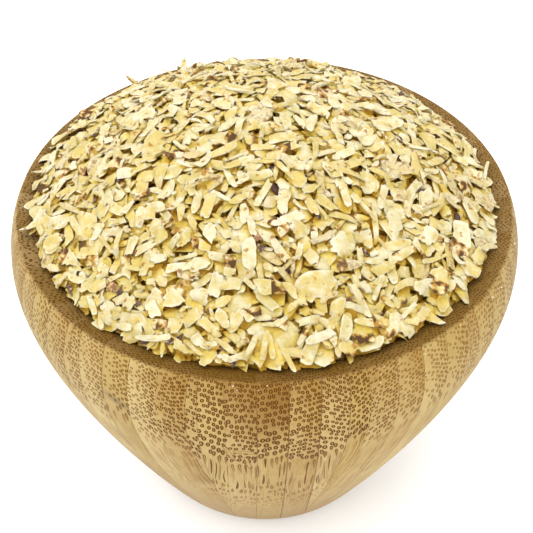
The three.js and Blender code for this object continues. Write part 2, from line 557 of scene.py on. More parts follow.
def fibre_curve(bowl):
    """How far the fibre pattern has moved out at each height, so that dots near the rim become streaks."""
    outside = outer_side(bowl)[::-1]
    radius, drop = outside[:, 0], outside[:, 1]
    run = np.hypot(np.diff(radius), np.diff(drop))
    middle = (drop[1:] + drop[:-1]) / 2
    cut = np.interp(middle, CUT_DROPS, CUT_SHARES)
    total = np.concatenate([[0.0], np.cumsum(cut * run)])
    return [(place / RIM_HEIGHT, np.interp(place, drop, total) / FIBRE_REACH) for place in CURVE_DROPS]


def set_curve(node, points):
    """Gives a float curve node its points."""
    curve = node.mapping.curves[0]
    curve.points[0].location = points[0]
    curve.points[-1].location = points[-1]
    for place in points[1:-1]:
        curve.points.new(*place)
    node.mapping.update()


def set_steps(ramp, values):
    """Makes a colour ramp step through grey values at equal intervals."""
    ramp.color_ramp.interpolation = "CONSTANT"
    stops = ramp.color_ramp.elements
    for place, value in enumerate(values):
        stop = stops[place] if place < 2 else stops.new(place / len(values))
        stop.position = place / len(values)
        stop.color = (value, value, value, 1.0)


def spot_on_bowl(tree, bamboo):
    """The spot that is coloured: its place on the bowl, in its stave and in its strip."""
    at = SimpleNamespace()
    at.x, at.y, at.z, where = tree.place()
    at.drop = RIM_HEIGHT - at.z
    at.radius = (at.x * at.x + at.y * at.y).root()
    at.azimuth = at.x.math("ARCTAN2", at.x, at.y * -1.0) * (180.0 / math.pi)
    at.off_front = at.azimuth.size()
    at.to_side = at.off_front.smooth(14.0, 32.0)
    at.band = at.radius.smooth(67.3, 66.3) * at.drop.smooth(4.0, 2.5) * at.radius.smooth(60.2, 60.7)
    at.on_band = at.band > 0.5
    at.cloud = tree.noise(where, 0.09, 3.0)
    at.sway = tree.noise(where, 0.03, 0.0)
    at.mottle = tree.noise(tree.vector(at.x, at.y, at.z * 0.5), 0.55, 3.0, 0.6)

    # Staves, each with its own centre plane
    turn = (at.azimuth - FIRST_JOINT) / STAVE_ANGLE
    stave = turn.floor()
    at.stave_number = stave.math("WRAP", stave, float(STAVES), 0.0)
    off_centre = (turn - stave - 0.5) * math.radians(STAVE_ANGLE)
    at.across = at.radius * off_centre.sine()
    at.outwards = at.radius * off_centre.cosine()
    at.joint_gap = (math.radians(STAVE_ANGLE / 2) - off_centre.size()) * at.radius

    # Strips side by side in a stave, each with its own luck
    places = tree.add("ShaderNodeValToRGB", Fac=(at.stave_number + 0.5) / STAVES)
    set_steps(places, SEAM_PLACES)
    board = at.across / bamboo.strip_width - tree.number(places.outputs["Color"])
    at.strip = board.floor()
    at.share = board - at.strip
    at.seam_gap = at.share.least(1.0 - at.share) * bamboo.strip_width
    luck_place = tree.vector(at.stave_number * 3.7 + 1.3, at.strip * 5.1 + 0.7)
    luck = tree.add("ShaderNodeTexWhiteNoise", {"noise_dimensions": "2D"}, Vector=luck_place)
    at.tone, at.hue, at.seam_luck = tree.split(luck.outputs["Color"])
    return at


def ring_mark(beside, beyond, hollow):
    """A bundle cut across: two dark halves round a light middle. Its edge is at 1."""
    from_middle = (beside * beside + beyond * beyond).root()
    halves = 0.72 + (beside / (from_middle + 0.1)).smooth(0.2, 0.8) * 0.28
    return from_middle.smooth(1.15, 0.8) * halves * (1.0 - from_middle.smooth(0.6, 0.2) * hollow)


def streak_mark(beside, beyond, tone):
    """A bundle cut along: a slim lens, in some with a light line down its middle."""
    slim = (1.0 - (beyond / 0.46) * (beyond / 0.46)).clamped()
    lens = beside / (slim * (0.12 + tone * 0.13) + 0.01)
    light_line = lens.smooth(0.6, 0.25) * tone.smooth(0.25, 0.5) * 0.85
    return lens.smooth(1.2, 0.7) * slim.smooth(0.0, 0.3) * (1.0 - light_line)


def find_bundles(tree, at, bowl, bamboo):
    """Adds the fibre bundles to a spot: rings near the rim, streaks where the wall runs along them."""
    off_band = 1.0 - at.on_band
    at.local_drop = at.drop * off_band + (at.hue - 0.5) * 10.0 + (at.sway - 0.5) * 14.0
    bend = tree.add("ShaderNodeFloatCurve", Factor=1.0, Value=at.local_drop / RIM_HEIGHT)
    set_curve(bend, fibre_curve(bowl))
    wall_radius = at.radius * off_band + at.on_band * bowl.rim_radius
    at.depth = (at.outwards - wall_radius) * LEAN + tree.number(bend.outputs[0]) * FIBRE_REACH
    weave_place = tree.vector(at.strip * 7.0 + at.stave_number, at.across * 0.2, at.z * 0.045)
    weave = (tree.noise(weave_place, 1.0, 1.0) - 0.5) * 2.6
    fan = 1.04 - at.local_drop.smooth(22.0, 0.0) * 0.28
    at.spread = (at.share * 0.85 + at.share * at.share * 0.22) * bamboo.strip_width / fan
    at.spread = at.spread + weave * at.local_drop.smooth(17.0, 26.0)

    # A sheared lattice of bundles, turned a little differently in each strip
    tilt = at.tone - 0.5
    spacing = bamboo.bundle_spacing * (1.0 - at.on_band * 0.22)
    place_deep = (at.spread * tilt.sine() + at.depth * tilt.cosine()) / (spacing * 0.9) + at.hue * 31.0
    place_across = (at.spread * tilt.cosine() - at.depth * tilt.sine()) / spacing
    place_across = place_across + place_deep * 0.5 + at.tone * 17.0
    cells = tree.add(
        "ShaderNodeTexVoronoi",
        {"voronoi_dimensions": "2D"},
        Vector=tree.vector(place_across, place_deep),
        Scale=1.0,
        Randomness=0.5,
    )
    middle_across, middle_deep, _ = tree.split(cells.outputs["Position"])
    bundle_luck, bundle_size, bundle_tone = tree.split(cells.outputs["Color"])
    off_deep = place_deep - middle_deep
    off_across = place_across - middle_across - off_deep * 0.5
    beside = (off_across * tilt.cosine() + off_deep * tilt.sine()).size()
    beyond = (off_deep * tilt.cosine() - off_across * tilt.sine()).size()

    low_wall = at.local_drop.smooth(50.0, 60.0)
    at.streaking = at.local_drop.smooth(22.0, 33.0) * (1.0 - low_wall)
    graded = (at.share - 0.6) * at.to_side
    wide = 0.33 + bundle_size * 0.11 - low_wall * 0.14 - at.on_band * 0.08
    wide = wide + (graded * 0.14 - at.to_side * 0.05) * off_band
    tall = 0.34 + bundle_size * 0.10 - low_wall * 0.08 - at.on_band * 0.05
    tall = tall + (graded * 0.1 - at.to_side * 0.04)
    hollow = 0.72 - at.share * 0.3 - at.on_band * 0.5
    mark = ring_mark(beside / wide, beyond / tall, hollow) * (1.0 - at.streaking)
    mark = mark + streak_mark(beside, beyond, bundle_tone) * at.streaking
    likely = 0.86 + at.share * 0.3 - low_wall * 0.05 - at.streaking * 0.16 + graded * 0.3 - at.to_side * 0.06

    # They fade low on the wall, in the plainer staves and towards the sides.
    plain_stave = at.off_front.smooth(13.0, 17.5) * at.off_front.smooth(66.0, 58.0)
    far_left = (at.azimuth.smooth(-16.0, -30.0) * 0.7).most(at.azimuth.smooth(-46.0, -66.0))
    far_side = at.azimuth.smooth(16.0, 36.0).most(far_left) * off_band
    fading = 1.0 - at.drop.smooth(46.0, 90.0) * 0.72
    fading = fading * (1.0 - plain_stave * at.drop.smooth(18.0, 30.0) * 0.5) * (1.0 - far_side * 0.36)
    strength = 0.94 + at.share * at.share * 0.06 - low_wall * 0.3
    at.bundles = mark * (bundle_luck < likely) * fading * strength


def front_stain(at):
    """A caramel stain under the rim at the front, darkest at its right edge, which is a seam."""
    stain = at.azimuth.smooth(-8.7, -7.7) * at.azimuth.smooth(5.0, 4.8)
    stain = stain * (0.45 + at.azimuth.smooth(-7.0, 4.0) * 0.55)
    return stain * (at.drop + at.azimuth.hump(-1.5, 7.0) * -4.0 + at.cloud * 4.0).smooth(24.0, 5.0)


def front_knot(at):
    """A knot in one strip at the front: an arch with two legs."""
    arch = at.drop.hump(24.0, 1.3) * at.azimuth.smooth(-6.6, -6.0) * at.azimuth.smooth(-1.9, -2.3)
    left_leg = (at.azimuth + 8.0 - (at.drop - 21.5) * 0.22).hump(0.0, 0.8)
    left_leg = left_leg * at.drop.smooth(20.5, 22.5) * at.drop.smooth(31.0, 27.0)
    right_leg = (at.azimuth + 3.9 - (at.drop - 26.0) * 0.1).hump(0.0, 0.7)
    right_leg = right_leg * at.drop.smooth(26.0, 28.0) * at.drop.smooth(36.0, 32.0)
    return arch.most(left_leg).most(right_leg)


def glue_seams(at):
    """Seams between strips, some of them dark, and a dark one at the front."""
    seam = at.seam_gap.smooth(0.16, 0.04) * (0.15 + at.seam_luck.smooth(0.35, 1.0) * 0.7)
    front_seam = at.stave_number.hump(FRONT_STAVE, 0.5) * at.seam_gap.smooth(0.24, 0.08)
    return seam.most(front_seam * (at.across > 0.0) * 0.9)


def strip_colour(tree, at, bamboo):
    """Ground colour of the strips, with their stains and the lines along the fibres."""
    shade = 0.2 + at.tone * 0.4 + at.drop.smooth(34.0, 0.0) * 0.3 + at.drop.hump(38.0, 24.0) * 0.18
    shade = shade + (at.share - 0.5) * 0.2 + (at.cloud - 0.5) * 0.6 + (at.mottle - 0.5) * 0.7
    low_left = at.azimuth.smooth(-14.0, -40.0) * at.drop.smooth(42.0, 75.0)
    high_right = at.azimuth.smooth(16.0, 40.0) * at.drop.smooth(64.0, 34.0)
    shade = shade - at.to_side * 0.3 + 0.1 + low_left * 0.5 + high_right * 0.26
    ground = tree.mix(shade.clamped(), bamboo.straw, bamboo.amber)
    ground = tree.mix(at.drop.smooth(46.0, 96.0) * 0.6, ground, PALE_FOOT)
    # Darker low on the left
    ground = tree.mix(low_left * 0.4, ground, LOW_LEFT_DARKER)
    ground = tree.mix(at.hue.smooth(0.55, 0.95) * 0.45, ground, bamboo.olive)
    ground = tree.mix(front_stain(at) * 0.9, ground, bamboo.caramel)

    near_rim = at.drop.smooth(8.0, 0.5) * (0.5 + at.mottle * 0.4) * (1.0 - at.to_side * 0.66)
    ground = tree.mix(near_rim * 0.55, ground, OILED)
    smudge = (at.azimuth - at.drop * 1.6).hump(-54.0, 4.5) * at.drop.hump(15.0, 4.0)
    ground = tree.mix(smudge * at.cloud.smooth(0.3, 0.5) * 0.6, ground, SMUDGED)

    # Darker lines run up the wall where it is cut along the fibres, and fine fibres all over it.
    line_place = tree.vector(at.spread * 1.9 + at.hue * 23.0, at.tone * 9.0 + at.strip, at.z * 0.07)
    line_zone = at.local_drop.smooth(23.0, 33.0) * (1.0 - at.drop.smooth(56.0, 90.0) * 0.7)
    lines = tree.noise(line_place, 1.0, 1.0).smooth(0.5, 0.68)
    ground = tree.mix(lines * line_zone * 0.45, ground, FIBRE_LINE)
    fine_tone = 0.74 + at.fine * 0.52
    return tree.tinted(ground, fine_tone, fine_tone, fine_tone)


def band_colour(tree, at):
    """The band on the rim is end grain, which takes up more oil."""
    to_back = at.off_front.smooth(20.0, 90.0)
    end_grain = tree.mix(to_back, END_GRAIN_FRONT, END_GRAIN_BACK)
    at_right = at.azimuth.hump(75.0, 75.0)
    light_strip = at.tone.smooth(0.3, 0.8) * (0.15 + to_back * 0.65) * (1.0 - at_right * 0.5)
    light_strip = light_strip + (at.fine - 0.5) * 0.5
    return tree.mix(light_strip.clamped(), end_grain, END_GRAIN_LIGHT)


def bamboo_material(bowl, bamboo):
    """Laminated bamboo: mitred staves of upright strips, with fibre bundles cut across near the rim."""
    material, tree, shader = new_material("laminated_bamboo", Specular_IOR_Level=0.05)
    at = spot_on_bowl(tree, bamboo)
    find_bundles(tree, at, bowl, bamboo)
    fine_place = tree.vector(at.across * 3.4 + at.hue * 50.0, at.depth * 2.2, at.z * 0.05)
    at.fine = tree.noise(fine_place, 1.0, 3.0, 0.6)

    ground = tree.mix(at.band * 0.94, strip_colour(tree, at, bamboo), band_colour(tree, at))
    bundle_colour = tree.mix(at.on_band * 0.8, bamboo.bundle, BAND_BUNDLE)
    bundle_colour = tree.mix(at.streaking * 0.8, bundle_colour, STREAK)
    ground = tree.mix(at.bundles.smooth(0.0, 0.6) * 0.85, ground, BUNDLE_EDGE)
    ground = tree.mix(at.bundles.smooth(0.3, 0.95) * 0.92, ground, bundle_colour)
    # Painted highlight: a lighter broken line along the rounded outer edge of the rim, on the left.
    rim_highlight = at.drop.hump(0.7, 0.6) * at.radius.smooth(66.5, 66.9) * at.azimuth.hump(-25.0, 15.0)
    ground = tree.mix(rim_highlight * at.mottle.smooth(0.3, 0.5) * 0.3, ground, RIM_HIGHLIGHT)
    knot = front_knot(at)
    ground = tree.mix(knot.smooth(0.02, 0.4) * 0.6, ground, KNOT_LINE)
    ground = tree.mix(knot.smooth(0.45, 0.75) * 0.7, ground, KNOT_MIDDLE)
    seam = glue_seams(at)
    joint = at.joint_gap.smooth(0.18, 0.05) * 0.6
    ground = tree.mix(seam.most(joint) * 0.8, ground, GLUE)

    tree.feed(shader, "Roughness", 0.42 + at.fine * 0.14 + at.bundles * 0.1)
    dress(tree, shader, ground, at.fine * 0.35 - at.bundles * 0.5 - seam * 0.8, 0.35, 0.00012)
    return material


# ---------------------------------------------------------------- heap

GAP = 0.3  # between the bowl and the flakes
EDGE_PAST_MOUTH = 0.4  # how far the heap reaches out past the mouth all round
CORE_GAP = 0.4  # between the bowl and the core
CORE_TOP_INSET = 0.9  # from the mouth in to the core's top
CORE_TOP_DROP = 7.0  # where the core's side ends under its top
CORE_ROUGHNESS = 0.8
CORE_SEGMENTS = 160
CORE_RINGS = 44


def lumps(x, y):
    """Smooth lumps, from -1 to 1, over the plan of the heap."""
    long = np.sin(0.21 * x + 0.11 * y + 0.4) + np.sin(0.09 * x - 0.24 * y + 2.1)
    short = np.sin(0.43 * x - 0.31 * y + 1.2) + np.sin(0.37 * x + 0.46 * y + 4.4)
    return (long + 0.8 * short) / 3.6


def heap_reach(bowl, heap, turn):
    """How far out the heap reaches in a direction, counted from +X."""
    spill = np.maximum(0.0, np.cos(turn - heap.spill_direction)) ** 1.5
    ragged = 0.5 + 0.5 * np.sin(7 * turn + 1) * np.sin(3 * turn)
    return bowl.mouth_radius + EDGE_PAST_MOUTH + heap.spill * spill * (0.7 + 0.3 * ragged)


def band_height(bowl, radius):
    """Height of the rim's sloping band."""
    inwards = (bowl.rim_radius - radius) / (bowl.rim_radius - bowl.mouth_radius)
    return RIM_HEIGHT - bowl.band_drop * np.clip(inwards, 0.0, 1.0)


def heap_height(bowl, heap, x, y):
    """Height that the flakes grow to, over the plan."""
    turn = np.arctan2(y, x)
    edge = heap_reach(bowl, heap, turn)
    share = np.minimum(1.0, np.hypot(x, y) / edge)
    lift = GAP + heap.edge_lift
    level = (band_height(bowl, edge) + lift) * share**2
    level += (RIM_HEIGHT - bowl.band_drop + lift) * (1 - share**2)
    return level + heap.rise * (1 - share**heap.shape) + heap.unevenness * lumps(x, y) * (1 - share**8)


def core_height(bowl, heap, x, y):
    """Height of the core's top: deep under the middle of the heap, less so at its edge."""
    share = np.minimum(1.0, np.hypot(x, y) / bowl.mouth_radius)
    return heap_height(bowl, heap, x, y) - heap.loose_depth * (1 - 0.35 * share**6)


def core_mesh(bowl, heap):
    """Everything under the loose flakes: it fills the bowl and has a rough domed top."""
    rng = np.random.default_rng(heap.seed + 7)
    turn = np.arange(CORE_SEGMENTS) * math.tau / CORE_SEGMENTS
    levels = []
    for radius, drop in inner_side(bowl, CORE_GAP, 14)[::-1]:
        if drop > CORE_TOP_DROP:
            height = np.full(CORE_SEGMENTS, RIM_HEIGHT - drop)
            levels.append(np.stack([radius * np.cos(turn), radius * np.sin(turn), height], 1))
    for ring in range(CORE_RINGS):
        radius = (bowl.mouth_radius - CORE_TOP_INSET) * (1 - ring / CORE_RINGS)
        x, y = radius * np.cos(turn), radius * np.sin(turn)
        rough = rng.uniform(-CORE_ROUGHNESS, CORE_ROUGHNESS, CORE_SEGMENTS) * min(1.0, radius / 8)
        levels.append(np.stack([x, y, core_height(bowl, heap, x, y) + rough], 1))
    floor = (0.0, 0.0, float(levels[0][0][2]))
    peak = (0.0, 0.0, float(core_height(bowl, heap, np.float64(0), np.float64(0))))
    points = np.vstack([*levels, floor, peak])
    bottom, top = len(points) - 2, len(points) - 1
    last = (len(levels) - 1) * CORE_SEGMENTS
    faces = []
    for side in range(CORE_SEGMENTS):
        after = (side + 1) % CORE_SEGMENTS
        faces.append((bottom, after, side))
        faces.append((top, last + side, last + after))
        for low in range(0, last, CORE_SEGMENTS):
            high = low + CORE_SEGMENTS
            faces.append((low + side, low + after, high + after, high + side))
    mesh = mesh_of("flake_core", points, faces)
    face_outwards(mesh)
    return mesh


# ---------------------------------------------------------------- flakes


@dataclass
class Kind:
    """A kind of flake: sizes in millimetres, how it is broken, how many there are and how they lie."""

    name: str
    length: tuple
    width: tuple
    thickness: tuple
    breaks: tuple
    corners: int
    blunt: tuple
    ragged: float
    share: float
    steep: float
    spare: float
    seed: int
    shapes: int = 44


def flake_kinds(flakes):
    """The kinds in the bowl."""
    thickness = np.array(flakes.thickness[:])

    def kind(name, length, width, plump, **more):
        return Kind(name, tuple(length), tuple(width), tuple(thickness * plump), **more)

    return [
        kind(
            "broad_slices", flakes.slice_length, flakes.slice_width, 1.1, seed=1,
            breaks=(2, 5), corners=20, blunt=(2.0, 2.8), ragged=0.08, share=0.085, steep=0.06, spare=1.1,
        ),
        kind(
            "chips", flakes.chip_length, flakes.chip_width, 1.3, seed=2,
            breaks=(2, 5), corners=14, blunt=(2.2, 4.0), ragged=0.085, share=0.32, steep=0.12, spare=1.0,
        ),
        kind(
            "shards", flakes.shard_length, flakes.shard_width, 1.25, seed=6,
            breaks=(3, 7), corners=12, blunt=(2.2, 5.0), ragged=0.12, share=0.2, steep=0.15, spare=0.9,
        ),
        kind(
            "slivers", flakes.sliver_length, flakes.sliver_width, 1.4, seed=3,
            breaks=(1, 4), corners=12, blunt=(2.2, 4.2), ragged=0.09, share=0.27, steep=0.2, spare=1.1,
        ),
        kind(
            "crumbs", flakes.crumb_length, flakes.crumb_width, 1.2, seed=4,
            breaks=(2, 5), corners=7, blunt=(2.0, 3.5), ragged=0.12, share=0.16, steep=0.25, spare=0.6,
        ),
        kind(
            "skin_bits", flakes.skin_length, flakes.skin_width, 1.0, seed=5,
            breaks=(3, 6), corners=9, blunt=(2.0, 3.0), ragged=0.2, share=0.034, steep=0.3, spare=0.9,
        ),
    ]


class Shape:
    """One flake shape: its mesh points and faces, and points over its middle surface for laying it."""

    FINE = 84  # points on the outline before it is cut down to its corners
    SAMPLE_STEP = 0.45
    END_BREAKS = 0.55  # share of the breaks that lie across an end
    LEAST_FACING = 0.05  # a break leaves the directions that face it by less than this
    NO_CUT = 1e9
    EDGE_THICKNESS = 0.34  # of the middle's thickness, each way
    SHARP_ANGLE = math.radians(38)

    def __init__(self, kind, rng):
        self.kind = kind
        self.length = rng.uniform(*kind.length)
        half = np.array([self.length, rng.uniform(*kind.width)]) / 2
        self.thickness = rng.uniform(*kind.thickness)
        self.make_outline(rng, half)
        self.make_bend(rng, half)
        self.make_mesh(rng)
        self.make_samples(half)

    def make_outline(self, rng, half):
        """A blunt oval, cut by a few rough breaks, then cut down to its strongest corners."""
        angle = np.arange(self.FINE) * math.tau / self.FINE
        direction = np.stack([np.cos(angle), np.sin(angle)], 1)
        blunt = rng.uniform(*self.kind.blunt)
        radius = (np.abs(direction / half) ** blunt).sum(1) ** (-1 / blunt)
        skin = np.ones(self.FINE)
        for _ in range(rng.integers(*self.kind.breaks)):
            toward = rng.uniform(0, math.tau)
            if rng.random() < self.END_BREAKS:
                toward = rng.integers(2) * math.pi + rng.uniform(-0.7, 0.7)
            facing = direction @ np.array([math.cos(toward), math.sin(toward)])
            support = math.hypot(half[0] * math.cos(toward), half[1] * math.sin(toward))
            cut = rng.uniform(0.5, 0.95) * support / np.maximum(facing, self.LEAST_FACING)
            cut = np.where(facing > self.LEAST_FACING, cut, self.NO_CUT)
            skin = np.where(cut < radius, 0.0, skin)
            radius = np.minimum(radius, cut)
        rough = rng.normal(0, 1, self.FINE)
        rough = rough + np.roll(rough, 1) + np.roll(rough, 2)
        radius = radius * (1 + self.kind.ragged * 0.45 * rough * (1.2 - 0.6 * skin))
        x, y = radius * direction[:, 0], radius * direction[:, 1]
        kept = np.arange(self.FINE)
        while len(kept) > self.kind.corners:
            px, py = x[kept], y[kept]
            before_x, before_y = np.roll(px, 1) - px, np.roll(py, 1) - py
            after_x, after_y = np.roll(px, -1) - px, np.roll(py, -1) - py
            kept = np.delete(kept, np.argmin(np.abs(before_x * after_y - before_y * after_x)))
        self.angle, self.skin = angle[kept], skin[kept]
        self.corner = np.stack([x[kept], y[kept]], 1)

    def make_bend(self, rng, half):
        """A gentle curl along and across, a twist and a few ripples."""
        reach = max(half)
        self.along = rng.normal(0, 0.28) / reach
        self.across = rng.normal(0.16, 0.3) / reach
        self.twist = rng.normal(0, 0.16) / reach
        self.ripple = rng.uniform(0.04, 0.12, 2) * reach
        self.phase = rng.uniform(0, math.tau, 4)
        self.pace = rng.uniform(1.2, 2.6, 2) / reach

    def middle(self, x, y):
        """Height of the flake's middle surface."""
        along = np.sin(self.pace[0] * x * 2 + self.phase[0])
        ripples = self.ripple[0] * along * np.cos(self.pace[1] * y * 2 + self.phase[1])
        ripples += self.ripple[1] * np.sin(self.pace[1] * (x + y) * 1.3 + self.phase[2])
        return self.along * x * x + self.across * y * y + self.twist * x * y + ripples

    def make_mesh(self, rng):
        """Two sides, each with a centre, a ring and an edge, joined at the edge."""
        corners = self.kind.corners
        thin = self.EDGE_THICKNESS * (1 - 0.45 * self.skin)
        inner = self.corner * rng.uniform(0.58, 0.7, (corners, 1))
        rows = []
        for side in (1.0, -1.0):
            swell = side * self.thickness * 0.5
            ring_z = self.middle(*inner.T) + swell * rng.uniform(0.8, 1.1, corners)
            edge = self.corner * (1.0 if side > 0 else rng.uniform(0.93, 1.0))
            edge_z = self.middle(*edge.T) + side * self.thickness * thin * rng.uniform(0.8, 1.2, corners)
            centre_z = float(self.middle(0.0, 0.0)) + swell
            rows += [[0.0, 0.0, centre_z], np.column_stack([inner, ring_z]), np.column_stack([edge, edge_z])]
        self.points = np.vstack(rows)
        below = 1 + 2 * corners
        self.faces = []
        for corner in range(corners):
            ring, ring_after = 1 + corner, 1 + (corner + 1) % corners
            edge, edge_after = ring + corners, ring_after + corners
            self.faces += [
                (0, ring, ring_after),
                (ring, edge, edge_after, ring_after),
                (below, below + ring_after, below + ring),
                (below + ring, below + ring_after, below + edge_after, below + edge),
                (edge, below + edge, below + edge_after, edge_after),
            ]
        inside = np.zeros(1 + corners)
        self.edge_value = np.tile(np.concatenate([inside, np.ones(corners)]), 2)
        self.skin_value = np.tile(np.concatenate([inside, self.skin]), 2)

    def make_samples(self, half):
        """Points spread evenly over the flake, for finding what it touches."""
        steps_x = np.arange(-half[0], half[0] + self.SAMPLE_STEP, self.SAMPLE_STEP)
        steps_y = np.arange(-half[1] - 0.3, half[1] + 0.3 + self.SAMPLE_STEP, self.SAMPLE_STEP)
        x, y = [values.ravel() for values in np.meshgrid(steps_x, steps_y)]
        turn = np.arctan2(y, x) % math.tau
        reach = np.interp(turn, self.angle, np.hypot(*self.corner.T), period=math.tau)
        inside = np.hypot(x, y) <= reach * 0.98
        x = np.concatenate([x[inside], self.corner[:, 0] * 0.97])
        y = np.concatenate([y[inside], self.corner[:, 1] * 0.97])
        self.samples = np.stack([x, y, self.middle(x, y)], 1)

    def mesh(self, name):
        mesh = mesh_of(name, self.points, self.faces)
        add_values(mesh, "edge", "FLOAT", self.edge_value)
        add_values(mesh, "skin", "FLOAT", self.skin_value)
        add_values(mesh, "own", "FLOAT_VECTOR", self.points)
        mesh.shade_smooth()
        mesh.set_sharp_from_angle(angle=self.SHARP_ANGLE)
        return mesh


class Pile:
    """Heights of what already lies in the bowl, on a square grid, and the height that the heap grows to."""

    CELL = 0.5
    HALF = 75.0
    MOUTH_INSET = 0.6  # inside it the flakes lie on the core, outside it on the band
    RIM_INSET = 0.3  # past it the ground falls away
    OUTER_FALL = 3.0  # how steeply it falls there
    EDGE_SPARE = 0.6  # how far past the heap's reach flakes may still lie
    OVER_BAND = 2.2  # how high they may stand on the band beyond that

    def __init__(self, bowl, heap):
        self.bowl, self.heap = bowl, heap
        side = int(2 * self.HALF / self.CELL) + 1
        axis = np.linspace(-self.HALF, self.HALF, side)
        x, y = np.meshgrid(axis, axis, indexing="ij")
        radius, turn = np.hypot(x, y), np.arctan2(y, x)
        reach = heap_reach(bowl, heap, turn)
        level = heap_height(bowl, heap, x, y)
        band = band_height(bowl, radius)
        fallen = RIM_HEIGHT - self.OUTER_FALL * (radius - bowl.rim_radius)
        in_mouth = radius < bowl.mouth_radius - self.MOUTH_INSET
        self.ground = np.where(in_mouth, core_height(bowl, heap, x, y), band)
        self.ground = np.where(radius > bowl.rim_radius - self.RIM_INSET, fallen, self.ground)
        share = np.clip(radius / reach, 0.0, 1.0)
        front_swell = 0.9 * np.clip(share * 5.0 - 4.0, 0.0, 1.0) * np.clip(0.5 - y / 60.0, 0.0, 1.0)
        back_left = np.maximum(0.0, np.cos(turn - heap.spill_direction))
        slump = heap.slump * back_left * np.sin(math.pi * share**1.5)
        level = level - heap.settling * (1 - share**4) - slump
        self.limit = np.where(radius < reach + self.EDGE_SPARE, level + front_swell, band + self.OVER_BAND)
        slope_x, slope_y = np.gradient(level, self.CELL)
        self.slope = np.stack([slope_x, slope_y], -1)
        self.upright = 1 / np.sqrt(1 + slope_x**2 + slope_y**2)

    def cell(self, x, y):
        column = ((x + self.HALF) / self.CELL + 0.5).astype(int)
        return column, ((y + self.HALF) / self.CELL + 0.5).astype(int)

    def emptiest(self, rng, inset, tries):
        """Of a few spots, the one that lacks most, with how much it lacks."""
        turn = rng.random(tries) * math.tau
        reach = heap_reach(self.bowl, self.heap, turn)
        at_edge = rng.random(tries) < 0.22
        radius = np.where(at_edge, reach - 3 * rng.random(tries), reach * np.sqrt(rng.random(tries)))
        radius = np.minimum(radius, reach - inset)
        x, y = radius * np.cos(turn), radius * np.sin(turn)
        ring_x = x[:, None] + np.array([0.0, 1.2, -1.2, 0.0, 0.0])
        ring_y = y[:, None] + np.array([0.0, 0.0, 0.0, 1.2, -1.2])
        where = self.cell(ring_x, ring_y)
        lack = ((self.limit - self.ground)[where] * self.upright[where]).mean(1) + 0.4 * at_edge
        best = int(np.argmax(lack))
        return x[best], y[best], lack[best]

    def facing(self, x, y, reach):
        """The direction that a flake lying at a spot would face."""
        turn = np.arange(8) * math.tau / 8
        where = self.cell(x + reach * np.cos(turn), y + reach * np.sin(turn))
        heights = self.ground[where]
        heights = np.clip(heights, np.median(heights) - 1.2 * reach, np.median(heights) + 1.2 * reach)
        felt = np.array([np.dot(heights, np.cos(turn)), np.dot(heights, np.sin(turn))]) * 2 / (8 * reach)
        here = self.cell(np.float64(x), np.float64(y))
        slope = 0.48 * felt + 0.32 * self.slope[here]
        normal = np.array([-slope[0], -slope[1], 1.0])
        return normal / np.linalg.norm(normal)

    def try_flake(self, rng, shape, size, x, y, spread, steep):
        """Lays a flake at a spot, if it doesn't stand out too far. Returns its place and turn."""
        normal = self.facing(x, y, 0.4 * shape.length * size)
        lean = abs(rng.normal(0, spread))
        if rng.random() < steep:
            lean = rng.uniform(0.5, 1.25)
        side = np.cross(normal, rng.normal(size=3))
        side /= np.linalg.norm(side)
        upward = math.cos(lean) * normal + math.sin(lean) * side
        length_way = np.cross(rng.normal(size=3), upward)
        length_way /= np.linalg.norm(length_way)
        flip = 1.0 if rng.random() < 0.5 else -1.0
        width_way = np.cross(upward, length_way)
        matrix = np.stack([length_way, flip * width_way, flip * upward], 1)
        points = shape.samples @ matrix.T * size
        where = self.cell(points[:, 0] + x, points[:, 1] + y)
        half_thick = 0.5 * shape.thickness * size
        clearance = self.ground[where] - (points[:, 2] - half_thick)
        place = int(0.8 * len(clearance))
        z = np.partition(clearance, place)[place]
        top = points[:, 2] + z + half_thick
        over = np.max((top - self.limit[where]) * self.upright[where])
        if over > shape.kind.spare * (1.0 if rng.random() < 0.92 else 2.8):
            return None
        np.maximum.at(self.ground, where, top)
        return (x, y, z), matrix


def euler_of(matrix):
    """XYZ Euler angles of a rotation matrix."""
    y = math.asin(max(-1.0, min(1.0, -matrix[2, 0])))
    if abs(matrix[2, 0]) > 0.99999:
        return math.atan2(-matrix[1, 2], matrix[1, 1]), y, 0.0
    return math.atan2(matrix[2, 1], matrix[2, 2]), y, math.atan2(matrix[1, 0], matrix[0, 0])


def lay_flakes(bowl, heap, kinds, shapes):
    """Drops flakes where the heap lacks most. Returns the pile, and each kind's rows for scatter."""
    rng = np.random.default_rng(heap.seed)
    pile = Pile(bowl, heap)
    laid = {kind.name: [] for kind in kinds}
    shares = np.array([kind.share for kind in kinds])
    shares = shares / shares.sum()
    slivers, crumbs = [kind for kind in kinds if kind.name in ("slivers", "crumbs")]
    full, most_misses, attempts = 0.06, 260, 3

    def drop(kind, tries, spread, steep):
        shape_number = int(rng.integers(len(shapes[kind.name])))
        shape = shapes[kind.name][shape_number]
        size = rng.uniform(0.88, 1.1)
        inset = shape.length * size * rng.uniform(-0.12, 0.4)
        x, y, lack = pile.emptiest(rng, inset, tries)
        if lack < full:
            return False
        for attempt in range(attempts):
            tipped = steep if attempt == 0 else 0.0
            done = pile.try_flake(rng, shape, size, x, y, spread / (1 + attempt), tipped)
            if done:
                laid[kind.name].append((*done[0], *euler_of(done[1]), size, shape_number))
                return True
        return False

    misses = 0
    for _ in range(heap.most_flakes):
        kind = kinds[rng.choice(len(kinds), p=shares)]
        misses = 0 if drop(kind, 6, 0.25, kind.steep) else misses + 1
        if misses > most_misses:
            break
    for _ in range(heap.fillers):
        drop((slivers, crumbs)[rng.integers(2)], 40, 0.3, 0.1)
    for _ in range(heap.crumbs_on_top):
        drop(crumbs, 2, 0.35, 0.1)
    return pile, laid


